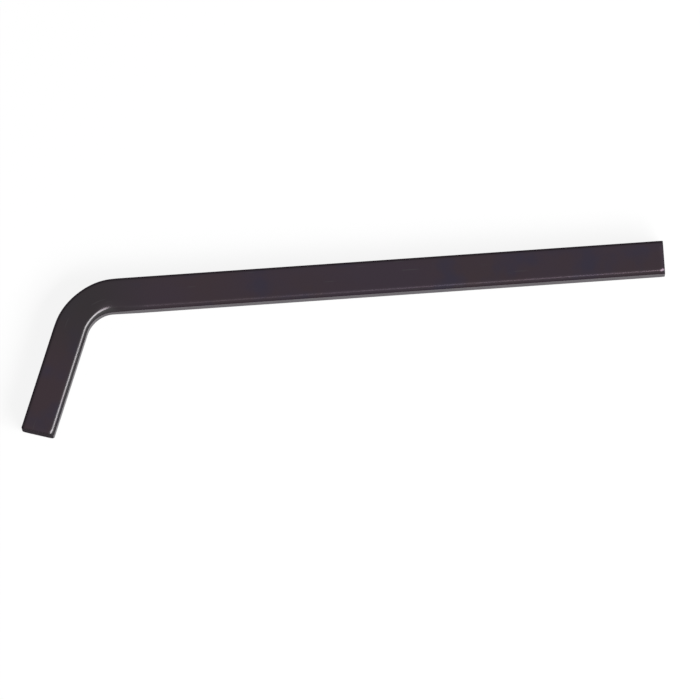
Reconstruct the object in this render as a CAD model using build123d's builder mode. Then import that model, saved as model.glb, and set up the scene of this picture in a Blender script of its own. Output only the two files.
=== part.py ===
from build123d import *
import os
from math import asin, cos, degrees, radians, sin, tan

# Oil drain key: one square steel bar, bent once and lying on one of its broad sides.
# The long arm is the handle and points along +X; the short arm goes into the drain plug's
# square socket and points to -X and -Y. The origin is on the surface that the key lies on,
# under the middle of its box.

# Driving dimensions, in millimetres and degrees
across_flats = 8.0  # the square section fits an 8 mm square socket
long_arm = 142.3  # outer corner of the bend to the long end
short_arm = 37.0  # outer corner of the bend to the short end
bend_turn = 68.4  # the bar turns this far, so 111.6 degrees lie between the arms
outer_bend_radius = 17.0  # over 8 mm more than the inner one: the bar thins as it bends
inner_bend_radius = 7.0
edge_rounding = 1.3  # along the drawn bar's four edges
long_end_roll = 1.3  # shearing rolls over the long end's upper and lower edges, this far back
long_end_roll_radius = 2.3
short_end_chamfer = 0.25  # the short end only has its burr taken off
short_end_skew = 4.65  # the short end is cropped this far out of square

# Directions along the short arm, and across it from its outer to its inner side
short_way = Vector(-cos(radians(bend_turn)), -sin(radians(bend_turn)))
short_across = Vector(sin(radians(bend_turn)), -cos(radians(bend_turn)))

# Corners of the key's outline, from the outer corner of the bend, before the bend is rounded
outer_corner = Vector(0, 0)
inner_corner = Vector(across_flats * tan(radians(bend_turn / 2)), -across_flats)
long_outer = Vector(long_arm, 0)
long_inner = Vector(long_arm, -across_flats)
short_outer = short_way * short_arm
short_end_run = across_flats * tan(radians(short_end_skew))
short_inner = short_outer + short_across * across_flats - short_way * short_end_run

# The origin is under the middle of the key's box, which runs from the short end's two corners,
# less their chamfer, to the long end and the long arm's outer side
short_end_way = (short_inner - short_outer).normalized()
low_x = (short_outer - short_way * short_end_chamfer).X
low_y = (short_inner - short_end_way * short_end_chamfer).Y
middle = Vector((low_x + long_arm) / 2, low_y / 2)
key_plane = Plane(origin=(-middle.X, -middle.Y, 0))

# The long end seen from the side: out from the end along X, and up from the bar's middle along Y
long_end_plane = Plane(
    origin=(long_arm - middle.X, 0, across_flats / 2), x_dir=(1, 0, 0), z_dir=(0, -1, 0)
)
cut_margin = 1.0  # the cut runs this far past the bar

with BuildPart() as drain_key:
    with BuildSketch(key_plane) as outline:
        with BuildLine():
            Polyline(
                long_inner, inner_corner, short_inner, short_outer, outer_corner, long_outer, close=True
            )
        make_face()
        fillet(outline.vertices().sort_by_distance(outer_corner)[0], outer_bend_radius)
        fillet(outline.vertices().sort_by_distance(inner_corner)[0], inner_bend_radius)
    extrude(amount=across_flats)

    # The four edges that run from one cropped end to the other round the bend
    long_end = drain_key.faces().sort_by(Axis.X)[-1]
    short_end = drain_key.faces().filter_by(Axis.Z, reverse=True).sort_by(Axis.Y)[0]
    rims = long_end.edges() + short_end.edges()
    lower_edges = drain_key.edges().group_by(Axis.Z)[0]
    upper_edges = drain_key.edges().group_by(Axis.Z)[-1]
    fillet([edge for edge in lower_edges + upper_edges if edge not in rims], edge_rounding)

    # The short end's rim, found again now that the edges are rounded
    short_end = drain_key.faces().filter_by(Axis.Z, reverse=True).sort_by(Axis.Y)[0]
    chamfer(short_end.edges(), short_end_chamfer)

    # The long end's rolled edges: a sliver is cut away above the bar's middle and one below it
    with BuildSketch(long_end_plane):
        with BuildLine():
            roll = CenterArc(
                (-long_end_roll, across_flats / 2 - long_end_roll_radius),
                long_end_roll_radius,
                90,
                -degrees(asin(long_end_roll / long_end_roll_radius)),
            )
            Polyline(
                roll @ 1,
                (cut_margin, (roll @ 1).Y),
                (cut_margin, across_flats / 2 + cut_margin),
                (-long_end_roll, across_flats / 2 + cut_margin),
                roll @ 0,
            )
        make_face()
        mirror(about=Plane.XZ)
    extrude(amount=across_flats * 4, both=True, mode=Mode.SUBTRACT)

drain_key.part.label = "drain_key"
os.makedirs("parts", exist_ok=True)
export_step(drain_key.part, "parts/drain_key.step")
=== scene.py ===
import math

import bpy
from mathutils import Matrix, Vector


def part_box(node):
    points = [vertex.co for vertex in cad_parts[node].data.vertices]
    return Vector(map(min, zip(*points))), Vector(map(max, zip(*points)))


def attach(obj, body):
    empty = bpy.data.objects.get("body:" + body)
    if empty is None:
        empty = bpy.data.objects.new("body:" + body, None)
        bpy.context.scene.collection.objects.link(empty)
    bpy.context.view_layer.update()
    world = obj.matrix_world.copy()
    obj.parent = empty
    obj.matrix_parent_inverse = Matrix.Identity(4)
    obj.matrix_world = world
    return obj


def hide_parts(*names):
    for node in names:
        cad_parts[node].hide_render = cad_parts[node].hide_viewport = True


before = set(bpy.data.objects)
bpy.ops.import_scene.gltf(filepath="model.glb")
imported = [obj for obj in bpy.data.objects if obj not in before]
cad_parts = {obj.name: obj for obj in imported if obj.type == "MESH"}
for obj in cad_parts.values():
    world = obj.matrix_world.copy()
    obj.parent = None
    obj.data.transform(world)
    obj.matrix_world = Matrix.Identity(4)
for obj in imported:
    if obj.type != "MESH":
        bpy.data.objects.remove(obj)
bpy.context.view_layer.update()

scene = bpy.context.scene
scene.view_settings.view_transform = "Standard"


# ---------------------------------------------------------------------------------------------
# Black oxide finish. The whole key is dipped in a hot salt bath that turns the skin of the steel
# to magnetite, then oiled. It is a dark satin metal with a cast that wanders from purple to brown
# and blue. The driving end's inner edges are lighter, partly rubbed wear and partly a painted
# highlight, and painted shade darkens the outer edges and the ends.

PURPLE_BLACK = (0.044, 0.033, 0.044, 1)
BROWN_BLACK = (0.046, 0.033, 0.039, 1)
BLUE_BLACK = (0.038, 0.032, 0.048, 1)
PLAIN_BLACK = (0.036, 0.032, 0.033, 1)
# lighter grey for the inner edges, partly rubbed wear and partly painted highlight, and for the
# scratches
WORN_AND_HIGHLIGHT_GREY = (0.063, 0.061, 0.063, 1)
# black for the painted shade on the outer edges and the ends
PAINTED_SHADE_BLACK = (0.02, 0.017, 0.019, 1)
GLANCING_TINT = (0.42, 0.40, 0.42, 1)  # how much the oxide dulls what it reflects at a low angle

# How far each cover hides what is under it
PLAIN_AT_BEND = 0.8
# how far the painted shade on the outer edges and the ends covers the colour under it
PAINTED_SHADE_COVER = 0.8
SCRATCH_COVER = 0.45
# the lighter inner edges, partly rubbed wear and partly painted highlight, on the lever and on the
# driving end
WEAR_AND_HIGHLIGHT_ON_LEVER = 0.1
MORE_WEAR_AND_HIGHLIGHT_ON_DRIVING_END = 0.85

# The roughness, and what each kind of mark adds to it where it is strongest
SATIN = 0.17
PATCHES_ADD = 0.06
CROPPED_ADD = 0.35
GRAIN_ADD = 0.05
DRAWN_LINES_ADD = 0.03

# The relief: the drawn lines beside the grain, and how deep both are
DRAWN_RELIEF = 0.4
RELIEF_STRENGTH = 0.12
RELIEF_DEPTH = 0.00001


def link(tree, value, socket):
    """Sets a socket to a number, colour or vector, or wires another node's output to it."""
    if isinstance(value, bpy.types.NodeSocket):
        tree.links.new(value, socket)
    else:
        socket.default_value = value


def add_node(tree, kind, inputs=(), **settings):
    """A node with its settings, and its inputs given by name or number."""
    node = tree.nodes.new(kind)
    for name, value in settings.items():
        setattr(node, name, value)
    for key, value in dict(inputs).items():
        link(tree, value, node.inputs[key])
    return node


def maths(tree, operation, *values):
    """The result of one step of arithmetic."""
    return add_node(tree, "ShaderNodeMath", enumerate(values), operation=operation).outputs[0]


def smooth_step(tree, value, start, end):
    """0 up to start, 1 from end on and a smooth rise between them."""
    inputs = {"Value": value, "From Min": start, "From Max": end}
    node = add_node(tree, "ShaderNodeMapRange", inputs, interpolation_type="SMOOTHSTEP")
    return node.outputs["Result"]


def blend_colours(tree, share, first, second):
    """first where share is 0, second where it is 1."""
    node = add_node(tree, "ShaderNodeMix", data_type="RGBA")
    link(tree, share, node.inputs[0])
    link(tree, first, node.inputs[6])
    link(tree, second, node.inputs[7])
    return node.outputs[2]


def noise(tree, coordinates, scale, detail, stretch=(1, 1, 1), shift=(0, 0, 0), turn=(0, 0, 0)):
    """Noise of about scale blobs a millimetre, drawn out where stretch is small."""
    inputs = {"Vector": coordinates, "Location": shift, "Rotation": turn, "Scale": stretch}
    placed = add_node(tree, "ShaderNodeMapping", inputs)
    inputs = {"Vector": placed.outputs[0], "Scale": scale, "Detail": detail}
    return add_node(tree, "ShaderNodeTexNoise", inputs).outputs["Fac"]


def bar_attribute(tree, name, output="Fac"):
    """A value that the bar's points carry."""
    return add_node(tree, "ShaderNodeAttribute", attribute_name=name).outputs[output]


steel = bpy.data.materials.new("black_oxide_steel")
steel.use_nodes = True
nodes = steel.node_tree
nodes.nodes.clear()
unbent = bar_attribute(nodes, "unbent_mm", "Vector")
outward = add_node(nodes, "ShaderNodeSeparateXYZ", {0: unbent}).outputs[1]
cropped = bar_attribute(nodes, "cropped")

# The wandering cast, plainer where the bend was heated
cast = noise(nodes, unbent, scale=0.055, detail=3, stretch=(0.6, 1, 1))
warmth = noise(nodes, unbent, scale=0.09, detail=3, shift=(40, 7, 3))
brown = smooth_step(nodes, cast, start=0.4, end=0.64)
blue = smooth_step(nodes, warmth, start=0.48, end=0.7)
plain = maths(nodes, "MULTIPLY", bar_attribute(nodes, "bent"), PLAIN_AT_BEND)
tint = blend_colours(nodes, brown, PURPLE_BLACK, BROWN_BLACK)
tint = blend_colours(nodes, blue, tint, BLUE_BLACK)
tint = blend_colours(nodes, plain, tint, PLAIN_BLACK)

# Lighter inner edges, in broken streaks and mostly on the driving end: partly rubbed wear,
# partly a painted highlight that brightens the lamp's line there
streaks = noise(nodes, unbent, scale=0.6, detail=4, stretch=(0.25, 1, 1))
streaks = smooth_step(nodes, streaks, start=0.2, end=0.5)
inner = smooth_step(nodes, outward, start=-2.4, end=-2.9)
driving = bar_attribute(nodes, "driving")
driving = maths(nodes, "MULTIPLY_ADD", driving, MORE_WEAR_AND_HIGHLIGHT_ON_DRIVING_END, WEAR_AND_HIGHLIGHT_ON_LEVER)
rubbed_and_highlight = maths(nodes, "MULTIPLY", bar_attribute(nodes, "edge"), inner)
rubbed_and_highlight = maths(nodes, "MULTIPLY", rubbed_and_highlight, streaks)
rubbed_and_highlight = maths(nodes, "MULTIPLY", rubbed_and_highlight, driving)
tint = blend_colours(nodes, rubbed_and_highlight, tint, WORN_AND_HIGHLIGHT_GREY)

# Painted shade on the outer edges, a few short scratches, and painted shade on the cropped ends
painted_shade = smooth_step(nodes, outward, start=3.1, end=3.6)
painted_shade = maths(nodes, "MULTIPLY", painted_shade, PAINTED_SHADE_COVER)
tint = blend_colours(nodes, painted_shade, tint, PAINTED_SHADE_BLACK)
scratched = noise(
    nodes, unbent, scale=0.7, detail=1, stretch=(0.16, 3.2, 1), turn=(0, 0, 0.12), shift=(3, 5, 0)
)
scratched = smooth_step(nodes, scratched, start=0.73, end=0.77)
scratched = maths(nodes, "MULTIPLY", scratched, SCRATCH_COVER)
tint = blend_colours(nodes, scratched, tint, WORN_AND_HIGHLIGHT_GREY)
# painted shade on the cropped end faces
painted_shade_on_ends = maths(nodes, "MULTIPLY", cropped, PAINTED_SHADE_COVER)
tint = blend_colours(nodes, painted_shade_on_ends, tint, PAINTED_SHADE_BLACK)

drawn_lines = noise(nodes, unbent, scale=6, detail=4, stretch=(0.02, 1, 1))
grain = noise(nodes, unbent, scale=9, detail=3)
patches = noise(nodes, unbent, scale=0.2, detail=3)
roughness = maths(nodes, "MULTIPLY_ADD", patches, PATCHES_ADD, SATIN)
roughness = maths(nodes, "MULTIPLY_ADD", cropped, CROPPED_ADD, roughness)
roughness = maths(nodes, "MULTIPLY_ADD", grain, GRAIN_ADD, roughness)
roughness = maths(nodes, "MULTIPLY_ADD", drawn_lines, DRAWN_LINES_ADD, roughness)
relief = maths(nodes, "MULTIPLY_ADD", drawn_lines, DRAWN_RELIEF, grain)
inputs = {"Height": relief, "Strength": RELIEF_STRENGTH, "Distance": RELIEF_DEPTH}
bump = add_node(nodes, "ShaderNodeBump", inputs)
inputs = {
    "Base Color": tint,
    "Metallic": 1.0,
    "Roughness": roughness,
    "Specular Tint": GLANCING_TINT,
    "Normal": bump.outputs[0],
}
shader = add_node(nodes, "ShaderNodeBsdfPrincipled", inputs)
add_node(nodes, "ShaderNodeOutputMaterial", {"Surface": shader.outputs[0]})


# ---------------------------------------------------------------------------------------------
# The bent bar. One length of square tool steel, drawn with rounded edges, cropped at both ends
# and bent once round a former. The long arm is the lever, with its upper and lower end edges
# rolled over. The short arm is the driving end and is left as cropped, a little out of square.

MM = 0.001
key_low, key_high = (Vector(corner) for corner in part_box("drain_key"))
ACROSS_FLATS = key_high.z - key_low.z
LONG_ARM = 142.3 * MM  # both arms from the outer corner of the bend
SHORT_ARM = 37.0 * MM
BEND_TURN = math.radians(68.4)
INNER_RADIUS = 7.0 * MM
BEND_POINTS = 64  # in the rounded corner of the middle line
EDGE_POINTS = 12  # in each rounded corner of the section
ROLL_STEPS = 10  # along the long end's rolled edges
CHAMFER_STEPS = 2
BENT_RUN = 20 * MM  # how far from the bend's middle its plainer colour goes
WEAR_START = 0.1 * MM  # wear on the rims of the ends is full up to here
WEAR_END = 0.5 * MM  # and gone from here
EDGE_WEAR_SHARE = 0.4  # of the edge rounding, over which its wear comes in
CROPPED_DEPTH = 0.02 * MM  # nearer an end than this is the end's own face

# The middle line of the bar: the long end, the bend's corner before it is rounded, the short end
half = ACROSS_FLATS / 2
short_way = Vector((-math.cos(BEND_TURN), -math.sin(BEND_TURN), 0))
short_across = Vector((math.sin(BEND_TURN), -math.cos(BEND_TURN), 0))
outer_corner = Vector((key_high.x - LONG_ARM, key_high.y, half))
corner_run = half * math.tan(BEND_TURN / 2)
long_end = outer_corner + Vector((LONG_ARM, -half, 0))
bend_corner = outer_corner + Vector((corner_run, -half, 0))
short_end = outer_corner + SHORT_ARM * short_way + half * short_across

# How far along the middle line the bend's middle is, and how long the whole line is
middle_radius = INNER_RADIUS + half
arc_half = middle_radius * BEND_TURN / 2
tangent_run = middle_radius * math.tan(BEND_TURN / 2)
bend_middle = LONG_ARM - corner_run - tangent_run + arc_half
line_length = bend_middle + arc_half + (SHORT_ARM - corner_run - tangent_run)


def bar_tree():
    """Sweeps a rounded square along a line with one rounded corner.

    In the section, outward is from the bar's middle to the outer side of the bend, and downward
    is to its lower side. Each point of the bar keeps its unbent place, which is how far along the
    bar it is with its place in the section, in millimetres, for the finish to follow.
    """
    tree = bpy.data.node_groups.new("bent_bar", "GeometryNodeTree")
    face = tree.interface
    face.new_socket("Middle Line", in_out="INPUT", socket_type="NodeSocketGeometry")
    sizes = {
        "Across Flats": ACROSS_FLATS,
        "Edge Rounding": 1.3 * MM,
        "Inner Radius": INNER_RADIUS,
        "Bend Middle": bend_middle,
        "Line Length": line_length,
        "Driving Start": bend_middle - 14.0 * MM,
        "Thinning": 0.41 * MM,
        "Thinned Run": 8.5 * MM,
        "Soft Reach": 3.4 * MM,
        "Soft Drop": 0.95 * MM,
        "Soft Middle": bend_middle - 5.5 * MM,
        "Soft Run": 8.5 * MM,
        "Long End Roll": 1.3 * MM,
        "Long End Roll Radius": 2.3 * MM,
        "Short End Chamfer": 0.26 * MM,
        "Short End Skew": math.tan(math.radians(4.65)),
        "Skewed Run": 8.0 * MM,
        "Step": 0.5 * MM,
        "Section Step": 0.2 * MM,
    }
    for name in sizes:
        face.new_socket(name, in_out="INPUT", socket_type="NodeSocketFloat")
    face.new_socket("Material", in_out="INPUT", socket_type="NodeSocketMaterial")
    face.new_socket("Bar", in_out="OUTPUT", socket_type="NodeSocketGeometry")
    given = tree.nodes.new("NodeGroupInput").outputs

    def store(geometry, name, value, data_type="FLOAT"):
        """The geometry with a value kept under a name."""
        inputs = {"Geometry": geometry, "Name": name}
        kept = add_node(tree, "GeometryNodeStoreNamedAttribute", inputs, data_type=data_type)
        link(tree, value, kept.inputs["Value"])
        return kept.outputs[0]

    def recall(name, data_type="FLOAT"):
        """The value kept under a name."""
        inputs = {"Name": name}
        node = add_node(tree, "GeometryNodeInputNamedAttribute", inputs, data_type=data_type)
        return node.outputs[0]

    def hump(along, middle, run):
        """1 at the middle and 0 from a run away, with a smooth rise and fall."""
        away = maths(tree, "ABSOLUTE", maths(tree, "SUBTRACT", along, middle))
        return maths(tree, "SUBTRACT", 1.0, smooth_step(tree, away, 0.0, run))

    def at_most(value, limit):
        """True where the value is no more than the limit."""
        node = add_node(tree, "FunctionNodeCompare", data_type="FLOAT", operation="LESS_EQUAL")
        link(tree, value, node.inputs[0])
        link(tree, limit, node.inputs[1])
        return node.outputs[0]

    def scaled(vector, factor):
        """The vector made that many times as long."""
        node = add_node(tree, "ShaderNodeVectorMath", {0: vector}, operation="SCALE")
        link(tree, factor, node.inputs["Scale"])
        return node.outputs[0]

    half_flat = maths(tree, "MULTIPLY", given["Across Flats"], 0.5)

    # The middle line, rounded at its corner and stepped evenly
    radius = maths(tree, "ADD", given["Inner Radius"], half_flat)
    inputs = {"Curve": given["Middle Line"], "Count": BEND_POINTS, "Radius": radius}
    rounded = add_node(tree, "GeometryNodeFilletCurve", inputs, mode="POLY")
    inputs = {"Curve": rounded.outputs[0], "Length": given["Step"]}
    stepped = add_node(tree, "GeometryNodeResampleCurve", inputs, mode="LENGTH")
    inputs = {"Curve": stepped.outputs[0]}
    upright = add_node(tree, "GeometryNodeSetCurveNormal", inputs, mode="Z_UP")
    way = tree.nodes.new("GeometryNodeInputTangent").outputs[0]
    middle_line = store(upright.outputs[0], "way", way, "FLOAT_VECTOR")

    # The first and last steps are moved to shape the ends: a rolled edge, and a chamfer
    parameter = tree.nodes.new("GeometryNodeSplineParameter").outputs
    count = tree.nodes.new("GeometryNodeSplineLength").outputs["Point Count"]
    to_last = maths(tree, "SUBTRACT", maths(tree, "SUBTRACT", count, 1), parameter["Index"])
    roll_step = maths(tree, "DIVIDE", given["Long End Roll"], ROLL_STEPS)
    roll_depth = maths(tree, "MULTIPLY", parameter["Index"], roll_step)
    cut = maths(tree, "MINIMUM", maths(tree, "DIVIDE", to_last, CHAMFER_STEPS), 1.0)
    cut_depth = maths(tree, "MULTIPLY", cut, given["Short End Chamfer"])
    cut_inset = maths(tree, "SUBTRACT", given["Short End Chamfer"], cut_depth)
    scale = maths(tree, "SUBTRACT", 1.0, maths(tree, "DIVIDE", cut_inset, half_flat))
    middle_line = store(middle_line, "draw_in", scale)

    back = maths(tree, "SUBTRACT", roll_depth, parameter["Length"])
    from_last = maths(tree, "SUBTRACT", given["Line Length"], parameter["Length"])
    forth = maths(tree, "SUBTRACT", from_last, cut_depth)
    in_roll = at_most(parameter["Index"], ROLL_STEPS)
    in_cut = at_most(to_last, CHAMFER_STEPS)
    for selection, distance in ((in_roll, back), (in_cut, forth)):
        offset = scaled(way, distance)
        inputs = {"Geometry": middle_line, "Selection": selection, "Offset": offset}
        middle_line = add_node(tree, "GeometryNodeSetPosition", inputs).outputs[0]
    along = tree.nodes.new("GeometryNodeSplineParameter").outputs["Length"]
    middle_line = store(middle_line, "along", along)

    # The section, and the sweep
    inputs = {"Width": given["Across Flats"], "Height": given["Across Flats"]}
    square = add_node(tree, "GeometryNodeCurvePrimitiveQuadrilateral", inputs, mode="RECTANGLE")
    inputs = {"Curve": square.outputs[0], "Count": EDGE_POINTS, "Radius": given["Edge Rounding"]}
    rounded_square = add_node(tree, "GeometryNodeFilletCurve", inputs, mode="POLY")
    inputs = {"Curve": rounded_square.outputs[0], "Length": given["Section Step"]}
    section = add_node(tree, "GeometryNodeResampleCurve", inputs, mode="LENGTH")
    place = tree.nodes.new("GeometryNodeInputPosition").outputs[0]
    section = store(section.outputs[0], "in_section", place, "FLOAT_VECTOR")
    inputs = {
        "Curve": middle_line,
        "Profile Curve": section,
        "Scale": recall("draw_in"),
        "Fill Caps": True,
    }
    bar = add_node(tree, "GeometryNodeCurveToMesh", inputs).outputs[0]

    # Where each point is in the unbent bar
    in_section = scaled(recall("in_section", "FLOAT_VECTOR"), recall("draw_in"))
    parts = add_node(tree, "ShaderNodeSeparateXYZ", {0: in_section}).outputs
    outward = parts[0]
    downward = parts[1]
    along = recall("along")
    to_end = maths(tree, "SUBTRACT", given["Line Length"], along)
    inputs = {0: along, 1: outward, 2: downward}
    unbent = add_node(tree, "ShaderNodeCombineXYZ", inputs).outputs[0]
    bar = store(bar, "unbent_mm", scaled(unbent, 1 / MM), "FLOAT_VECTOR")
    bar = store(bar, "bent", hump(along, given["Bend Middle"], BENT_RUN))

    # Edges, for wear and the painted highlight on the inner edges: 1 on the roundings between the
    # sides and on the rims of both ends
    flat_end = maths(tree, "SUBTRACT", half_flat, given["Edge Rounding"])
    over_side = maths(tree, "SUBTRACT", maths(tree, "ABSOLUTE", outward), flat_end)
    over_top = maths(tree, "SUBTRACT", maths(tree, "ABSOLUTE", downward), flat_end)
    least = maths(tree, "MINIMUM", over_side, over_top)
    full_wear = maths(tree, "MULTIPLY", given["Edge Rounding"], EDGE_WEAR_SHARE)
    on_edge = smooth_step(tree, least, 0.0, full_wear)
    for from_end in (along, to_end):
        off_rim = smooth_step(tree, from_end, WEAR_START, WEAR_END)
        at_rim = maths(tree, "SUBTRACT", 1.0, off_rim)
        on_edge = maths(tree, "MAXIMUM", on_edge, at_rim)
    bar = store(bar, "edge", on_edge)
    driving = smooth_step(tree, along, given["Driving Start"], given["Bend Middle"])
    bar = store(bar, "driving", driving)
    at_cropped = maths(tree, "LESS_THAN", maths(tree, "MINIMUM", along, to_end), CROPPED_DEPTH)
    bar = store(bar, "cropped", at_cropped)

    # The broad sides slope off towards the inner side of the bend, where the former pressed them
    softness = hump(along, given["Soft Middle"], given["Soft Run"])
    soft_start = maths(tree, "SUBTRACT", half_flat, given["Soft Reach"])
    into_soft = maths(tree, "SUBTRACT", maths(tree, "MULTIPLY", outward, -1.0), soft_start)
    into_soft = maths(tree, "MAXIMUM", into_soft, 0.0)
    over = maths(tree, "DIVIDE", into_soft, given["Soft Reach"])
    soft_drop = maths(tree, "MULTIPLY", maths(tree, "MULTIPLY", over, over), given["Soft Drop"])
    soft_drop = maths(tree, "MULTIPLY", soft_drop, softness)
    from_middle = maths(tree, "DIVIDE", downward, half_flat)
    soft_up = maths(tree, "MULTIPLY", from_middle, soft_drop)

    # The outer side is drawn thinner round the bend
    thinned = hump(along, given["Bend Middle"], given["Thinned Run"])
    thinned = maths(tree, "MULTIPLY", thinned, given["Thinning"])
    share = maths(tree, "DIVIDE", maths(tree, "ADD", outward, half_flat), given["Across Flats"])
    out_move = maths(tree, "MULTIPLY", maths(tree, "MULTIPLY", share, thinned), -1.0)

    # The short end is cropped out of square: its inner side is the shorter
    near_end = maths(tree, "SUBTRACT", 1.0, smooth_step(tree, to_end, 0.0, given["Skewed Run"]))
    from_outer = maths(tree, "SUBTRACT", half_flat, outward)
    back_move = maths(tree, "MULTIPLY", from_outer, near_end)
    back_move = maths(tree, "MULTIPLY", back_move, given["Short End Skew"])

    # The long end's upper and lower edges are rolled over
    into_roll = maths(tree, "SUBTRACT", given["Long End Roll"], along)
    into_roll = maths(tree, "MAXIMUM", into_roll, 0.0)
    roll_radius = given["Long End Roll Radius"]
    squares = maths(tree, "MULTIPLY", into_roll, maths(tree, "MULTIPLY", into_roll, -1.0))
    squares = maths(tree, "MULTIPLY_ADD", roll_radius, roll_radius, squares)
    rolled = maths(tree, "SUBTRACT", roll_radius, maths(tree, "SQRT", squares))
    up_move = maths(tree, "ADD", soft_up, maths(tree, "MULTIPLY", from_middle, rolled))

    bar_way = recall("way", "FLOAT_VECTOR")
    inputs = {0: bar_way, 1: (0, 0, 1)}
    out_way = add_node(tree, "ShaderNodeVectorMath", inputs, operation="CROSS_PRODUCT")
    outwards = scaled(out_way.outputs[0], out_move)
    backwards = scaled(bar_way, maths(tree, "MULTIPLY", back_move, -1.0))
    upwards = add_node(tree, "ShaderNodeCombineXYZ", {2: up_move}).outputs[0]
    moves = add_node(tree, "ShaderNodeVectorMath", {0: outwards, 1: backwards}).outputs[0]
    moves = add_node(tree, "ShaderNodeVectorMath", {0: moves, 1: upwards}).outputs[0]
    bar = add_node(tree, "GeometryNodeSetPosition", {"Geometry": bar, "Offset": moves}).outputs[0]

    bar = add_node(tree, "GeometryNodeSetShadeSmooth", {"Geometry": bar}).outputs[0]
    bar = add_node(tree, "GeometryNodeRealizeInstances", {"Geometry": bar}).outputs[0]
    inputs = {"Geometry": bar, "Material": given["Material"]}
    bar = add_node(tree, "GeometryNodeSetMaterial", inputs).outputs[0]
    link(tree, bar, tree.nodes.new("NodeGroupOutput").inputs[0])
    return tree, sizes


line = bpy.data.curves.new("middle_line", "CURVE")
line.dimensions = "3D"
spline = line.splines.new("POLY")
spline.points.add(2)
for point, place in zip(spline.points, (long_end, bend_corner, short_end)):
    point.co = (*place, 1)
guide = bpy.data.objects.new("middle_line", line)
scene.collection.objects.link(guide)

tree, sizes = bar_tree()
sweep = guide.modifiers.new("bent_bar", "NODES")
sweep.node_group = tree
for socket in tree.interface.items_tree:
    if socket.in_out == "INPUT" and socket.name in sizes:
        sweep[socket.identifier] = sizes[socket.name]
    elif socket.in_out == "INPUT" and socket.name == "Material":
        sweep[socket.identifier] = steel
evaluated = guide.evaluated_get(bpy.context.evaluated_depsgraph_get())
bar_mesh = bpy.data.meshes.new_from_object(evaluated)
bar = bpy.data.objects.new("drain_key_bar", bar_mesh)
scene.collection.objects.link(bar)
bpy.data.objects.remove(guide)
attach(bar, "root")
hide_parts("drain_key")


# ---------------------------------------------------------------------------------------------
# The table and the surroundings: a white sheet on a table in a white room. Most of their white is
# their own, seen directly and in the steel, so that they read as plain white, and the sheet
# still takes a light shadow from the key.

TABLE_REACH = 6.0
TABLE_TOP = -0.02 * MM  # just clear of the key's underside
SHEET_OWN_WHITE = 0.89
SHEET_COLOUR = (0.11, 0.11, 0.11, 1)
ROOM_WHITE = (1, 1, 1, 1)
ROOM_LIGHT = (0.15, 0.15, 0.15, 1)


def seen_directly(tree):
    """1 for what the camera sees, also in metal and through glass, and 0 for light on a surface."""
    path = tree.nodes.new("ShaderNodeLightPath").outputs
    seen = maths(tree, "MAXIMUM", path["Is Camera Ray"], path["Is Glossy Ray"])
    return maths(tree, "MAXIMUM", seen, path["Is Transmission Ray"])


table_mesh = bpy.data.meshes.new("table")
corners = [
    (-TABLE_REACH, -TABLE_REACH, TABLE_TOP),
    (TABLE_REACH, -TABLE_REACH, TABLE_TOP),
    (TABLE_REACH, TABLE_REACH, TABLE_TOP),
    (-TABLE_REACH, TABLE_REACH, TABLE_TOP),
]
table_mesh.from_pydata(corners, [], [(0, 1, 2, 3)])
table = bpy.data.objects.new("table", table_mesh)
scene.collection.objects.link(table)

sheet = bpy.data.materials.new("white_sheet")
sheet.use_nodes = True
nodes = sheet.node_tree
nodes.nodes.clear()
own_strength = maths(nodes, "MULTIPLY", seen_directly(nodes), SHEET_OWN_WHITE)
paper = add_node(nodes, "ShaderNodeBsdfDiffuse", {"Color": SHEET_COLOUR})
own = add_node(nodes, "ShaderNodeEmission", {"Strength": own_strength})
both = add_node(nodes, "ShaderNodeAddShader", {0: paper.outputs[0], 1: own.outputs[0]})
add_node(nodes, "ShaderNodeOutputMaterial", {"Surface": both.outputs[0]})
table_mesh.materials.append(sheet)

world = bpy.data.worlds.new("studio")
scene.world = world
world.use_nodes = True
nodes = world.node_tree
nodes.nodes.clear()
dim = add_node(nodes, "ShaderNodeBackground", {"Color": ROOM_LIGHT})
white = add_node(nodes, "ShaderNodeBackground", {"Color": ROOM_WHITE})
inputs = {0: seen_directly(nodes), 1: dim.outputs[0], 2: white.outputs[0]}
room = add_node(nodes, "ShaderNodeMixShader", inputs)
add_node(nodes, "ShaderNodeOutputWorld", {"Surface": room.outputs[0]})


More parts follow.
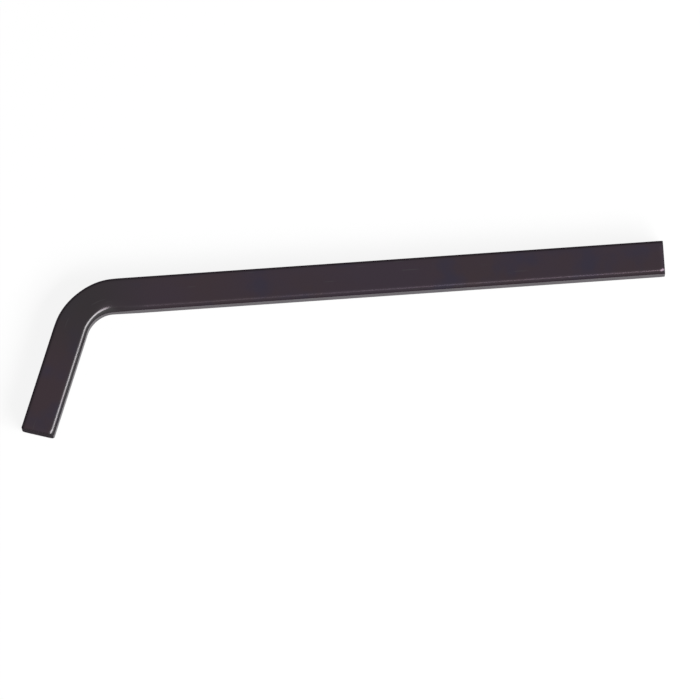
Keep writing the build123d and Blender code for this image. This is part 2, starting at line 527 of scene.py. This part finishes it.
# ---------------------------------------------------------------------------------------------
# The lamp: one wide soft box, halfway up on the right and towards the front. It gives the key
# its bright line along the inner edges and its light shadow.

BOX_AZIMUTH = math.radians(-43)
BOX_ELEVATION = math.radians(42)
BOX_DISTANCE = 2.2
BOX_WIDTH = 2.1
BOX_HEIGHT = 1.1
BOX_RADIANCE = 11.0

level = math.cos(BOX_ELEVATION)
box_way = Vector((
    level * math.cos(BOX_AZIMUTH),
    level * math.sin(BOX_AZIMUTH),
    math.sin(BOX_ELEVATION),
))
lamp = bpy.data.lights.new("side_box", "AREA")
lamp.shape = "RECTANGLE"
lamp.size = BOX_WIDTH
lamp.size_y = BOX_HEIGHT
lamp.energy = BOX_RADIANCE * math.pi * BOX_WIDTH * BOX_HEIGHT
side_box = bpy.data.objects.new("side_box", lamp)
facing = box_way.to_track_quat("Z", "Y").to_matrix().to_4x4()
side_box.matrix_world = Matrix.Translation(box_way * BOX_DISTANCE) @ facing
side_box.visible_camera = False
scene.collection.objects.link(side_box)


# ---------------------------------------------------------------------------------------------
# The camera looks down on the key from far off, a little from the side that the short arm points
# to, and is rolled so that the long arm rises to the right.

VIEW_WAY = Vector((-0.012, -0.127, 0.992)).normalized()
ROLL = math.radians(3.957)
FRAME_WIDTH = 167.2 * MM
DISTANCE = 3.0
SENSOR_WIDTH = 36
AIM = Vector((1.58 * MM, -2.39 * MM, half))

along_x = (Vector((1, 0, 0)) - VIEW_WAY.x * VIEW_WAY).normalized()
along_y = VIEW_WAY.cross(along_x)
right = math.cos(ROLL) * along_x - math.sin(ROLL) * along_y
up = math.sin(ROLL) * along_x + math.cos(ROLL) * along_y
camera_data = bpy.data.cameras.new("camera")
camera_data.sensor_width = SENSOR_WIDTH
camera_data.lens = SENSOR_WIDTH * DISTANCE / FRAME_WIDTH
camera = bpy.data.objects.new("camera", camera_data)
turned = Matrix((right, up, VIEW_WAY)).transposed().to_4x4()
camera.matrix_world = Matrix.Translation(AIM + VIEW_WAY * DISTANCE) @ turned
scene.collection.objects.link(camera)
scene.camera = camera
